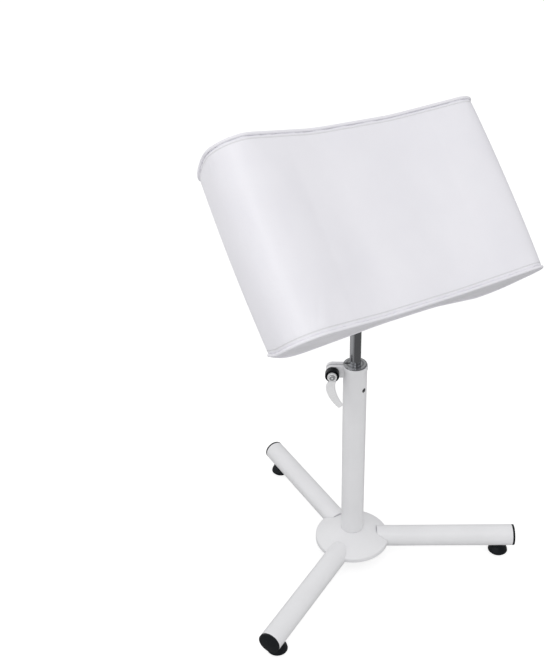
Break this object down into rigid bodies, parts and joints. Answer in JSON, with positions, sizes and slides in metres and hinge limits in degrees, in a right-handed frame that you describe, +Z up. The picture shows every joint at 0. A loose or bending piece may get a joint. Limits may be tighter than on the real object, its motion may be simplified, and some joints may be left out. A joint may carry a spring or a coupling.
{
  "type": "pedicure footrest",
  "caption": "Height adjustable footrest: a tilting, turning upholstered leg cushion on a clamped rod and a tubular tripod base.",
  "frame": {"origin": "axis of the column at the level of the floor", "axes": "+Z up along the column, +X along the right-hand leg"},
  "size_m": [0.4548, 0.47, 0.7329],
  "materials": {
    "white_steel": "white powder coat, satin",
    "black_plastic": "fine matt moulding",
    "turned_aluminium": "turned, satin",
    "dark_steel": "black oxide, satin",
    "bright_steel": "polished",
    "zinc_steel": "zinc plated",
    "white_plastic": "satin moulding",
    "nylon": "natural nylon",
    "white_leatherette": "satin coated fabric",
    "foam": "open cell foam",
    "plywood": "birch plywood, unfinished"
  },
  "bodies": {
    "base": {"base_dome": "white_steel", "column_tube": "white_steel", "column_plug": "black_plastic", "leg_right": "white_steel", "leg_front": "white_steel", "leg_rear": "white_steel", "leg_end_plates": "white_steel", "end_cap_right": "black_plastic", "end_cap_front": "black_plastic", "end_cap_rear": "black_plastic", "glide_right": "black_plastic", "glide_front": "black_plastic", "glide_rear": "black_plastic", "glide_screws": "zinc_steel", "lug_front": "white_steel", "lug_rear": "white_steel", "guide_bushing": "turned_aluminium", "bushing_screw": "dark_steel"},
    "guide": {"guide_ring": "black_plastic"},
    "stem": {"rod": "bright_steel", "foot_washer": "zinc_steel", "foot_screw": "zinc_steel", "rod_eye": "dark_steel"},
    "fork": {"fork_bracket": "dark_steel", "hinge_bolt": "zinc_steel", "hinge_nut": "zinc_steel", "hinge_washers": "zinc_steel", "friction_washers": "nylon"},
    "cushion": {"friction_disc": "nylon", "cushion_plate": "dark_steel", "plate_screws": "zinc_steel", "turn_bolt": "zinc_steel", "turn_nut": "zinc_steel", "turn_washer": "zinc_steel", "back_board": "plywood", "foam_core": "foam", "cover_sleeve": "white_leatherette", "end_panel_lower": "white_leatherette", "end_panel_upper": "white_leatherette", "piping_lower": "white_leatherette", "piping_upper": "white_leatherette"},
    "clamp": {"clamp_screw": "dark_steel", "clamp_washer": "zinc_steel", "handle_screw": "bright_steel", "handle_spring": "bright_steel"},
    "handle": {"clamp_handle": "white_plastic"}
  },
  "joints": [
    {"name": "height_slide", "type": "slide", "parent": "base", "child": "guide", "axis": [0, 0, 1], "range_m": [-0.172, 0.0308]},
    {"name": "rod_swivel", "type": "hinge", "parent": "guide", "child": "stem", "pos_m": [0, 0, 0.2645], "axis": [0, 0, 1], "continuous": true},
    {"name": "cushion_tilt", "type": "hinge", "parent": "stem", "child": "fork", "pos_m": [0, 0, 0.5568], "axis": [0.7206, 0.6934, 0], "range_deg": [-102.5, 7.5]},
    {"name": "cushion_turn", "type": "hinge", "parent": "fork", "child": "cushion", "pos_m": [0, 0, 0.5568], "axis": [0.5112, -0.5312, 0.6756], "continuous": true},
    {"name": "clamp_turn", "type": "hinge", "parent": "base", "child": "clamp", "pos_m": [-0.03196, 0.00168, 0.3435], "axis": [-0.0523, -0.9986, 0], "range_deg": [0, 110]},
    {"name": "handle_lift", "type": "slide", "parent": "clamp", "child": "handle", "axis": [-0.0523, -0.9986, 0], "range_m": [0, 0.0024], "stiffness_N_per_m": 600, "springref_m": -0.004, "deforming": ["handle_spring"]}
  ]
}
